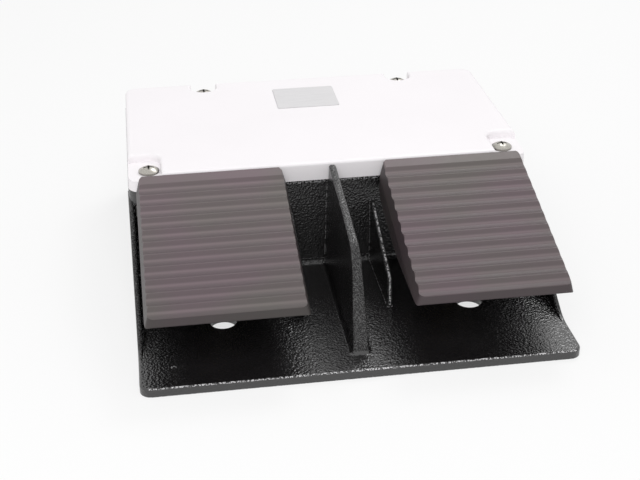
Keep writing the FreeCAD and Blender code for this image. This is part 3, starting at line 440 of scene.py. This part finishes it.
def metal_material(name, colour, roughness_low, roughness_high, marks_scale):
    """Turned or plated metal with fine marks, and painted shade in its recesses."""
    tree, shader = new_material(name)
    marks = noise(tree, object_coordinates(tree), marks_scale, detail=3.0, roughness=0.6)
    tone = ramp(tree, marks, darkened(colour, metal_mark), colour)
    # Painted shade: ambient occlusion darkens the colour in recesses
    recess_shade = add_node(tree, "ShaderNodeAmbientOcclusion", samples=recess_samples, Distance=recess_reach)
    feed(tree, recess_shade.inputs["Color"], tone)
    feed(tree, shader.inputs["Base Color"], recess_shade.outputs["Color"])
    feed(tree, shader.inputs["Metallic"], 1.0)
    set_roughness(tree, shader, marks, roughness_low, roughness_high)
    bump(tree, shader, marks, depth=0.00005, strength=0.05)


def plain_material(name, colour, roughness_low, roughness_high, grain):
    """Moulded plastic or rubber with a grain."""
    tree, shader = new_material(name)
    place = object_coordinates(tree)
    cloud = noise(tree, place, scale=120.0, detail=3.0)
    feed(tree, shader.inputs["Base Color"], ramp(tree, cloud, darkened(colour, plastic_mark), colour))
    set_roughness(tree, shader, cloud, roughness_low, roughness_high)
    bump(tree, shader, noise(tree, place, scale=2000.0), depth=0.0001, strength=grain)


def make_materials():
    """One material for each slot of the record, and one near-black steel for the axles and clips."""
    cast_base_material()
    cover_material()
    pedal_material()
    label_material()
    metal_material("plated_steel", (0.49, 0.47, 0.43), 0.2, 0.34, marks_scale=900.0)
    metal_material("darkened_steel", (0.06, 0.058, 0.055), 0.35, 0.5, marks_scale=900.0)
    metal_material("guide_brass", (0.72, 0.55, 0.25), 0.24, 0.4, marks_scale=700.0)
    plain_material("black_rubber", (0.02, 0.02, 0.02), 0.6, 0.8, grain=0.3)
    plain_material("bearing_plastic", (0.55, 0.54, 0.5), 0.4, 0.55, grain=0.1)
    plain_material("switch_plastic", (0.03, 0.03, 0.034), 0.4, 0.55, grain=0.12)
    plain_material("button_plastic", (0.55, 0.05, 0.035), 0.35, 0.5, grain=0.1)


def dress_nodes():
    """Every node takes the material of its slot, and the axles and clips take the near-black steel."""
    slots = {row["node"]: row["material_slot"] for row in frame["record"]["subparts"]}
    for name, piece in frame["nodes"].items():
        slot = "darkened_steel" if name.endswith(darkened_endings) else slots[name]
        piece.data.materials.clear()
        piece.data.materials.append(materials[slot])


def make_camera():
    """Camera at the photograph's viewpoint."""
    pan, tilt, roll = (math.radians(angle) for angle in (camera_pan, camera_tilt, camera_roll))
    forward = Vector((math.sin(pan) * math.cos(tilt), math.cos(pan) * math.cos(tilt), math.sin(tilt)))
    right = Vector((math.cos(pan), -math.sin(pan), 0.0))
    up = right.cross(forward)
    rolled_right = right * math.cos(roll) + up * math.sin(roll)
    rolled_up = up * math.cos(roll) - right * math.sin(roll)
    turn = Matrix((rolled_right, rolled_up, -forward)).transposed().to_4x4()
    data = bpy.data.cameras.new("camera")
    data.lens = camera_lens
    data.sensor_width = camera_sensor
    camera = bpy.data.objects.new("camera", data)
    camera.matrix_world = Matrix.Translation(camera_place) @ turn
    bpy.context.scene.collection.objects.link(camera)
    bpy.context.scene.camera = camera


def area_light(name, power, size, place, mirrored):
    """Square soft light aimed at the switch; glossy surfaces mirror it or not."""
    data = bpy.data.lights.new(name, "AREA")
    data.energy = power
    data.size = size
    light = bpy.data.objects.new(name, data)
    light.location = place
    light.rotation_euler = (Vector(light_target) - Vector(place)).to_track_quat("-Z", "Y").to_euler()
    light.visible_glossy = mirrored
    bpy.context.scene.collection.objects.link(light)


def seen_directly(tree):
    """1 where the camera, a mirror or glass sees the surface directly."""
    path = add_node(tree, "ShaderNodeLightPath").outputs
    return largest(tree, path["Is Camera Ray"], path["Is Glossy Ray"], path["Is Transmission Ray"])


def make_floor():
    """Pale floor that keeps the object's shadow and looks nearly white."""
    bpy.ops.mesh.primitive_plane_add(size=floor_size, location=(0.0, 0.0, -floor_drop))
    floor = bpy.context.active_object
    floor.name = "floor"
    tree, shader = new_material("floor")
    feed(tree, shader.inputs["Base Color"], (*floor_colour, 1.0))
    feed(tree, shader.inputs["Roughness"], floor_roughness)
    feed(tree, shader.inputs["Specular IOR Level"], floor_shine)
    glow = add_node(tree, "ShaderNodeEmission", Color=white, Strength=1.0)
    share = math_node(tree, "MULTIPLY", seen_directly(tree), floor_camera_glow)
    mix = add_node(tree, "ShaderNodeMixShader", Fac=share)
    feed(tree, mix.inputs[1], shader.outputs["BSDF"])
    feed(tree, mix.inputs[2], glow.outputs["Emission"])
    feed(tree, tree.nodes["Material Output"].inputs["Surface"], mix.outputs["Shader"])
    floor.data.materials.append(materials["floor"])


def make_world():
    """White where it is seen directly, and plain weaker light on everything."""
    world = bpy.data.worlds.new("studio")
    bpy.context.scene.world = world
    world.use_nodes = True
    tree = world.node_tree
    background = tree.nodes["Background"]
    feed(tree, background.inputs["Color"], white)
    feed(tree, background.inputs["Strength"], spread(tree, seen_directly(tree), world_strength, 1.0))


make_materials()
dress_nodes()
make_camera()
make_floor()
make_world()
area_light("front_light", front_light_power, front_light_size, front_light_place, mirrored=False)
area_light("rear_light", rear_light_power, rear_light_size, rear_light_place, mirrored=True)
bpy.context.scene.view_settings.view_transform = "Standard"
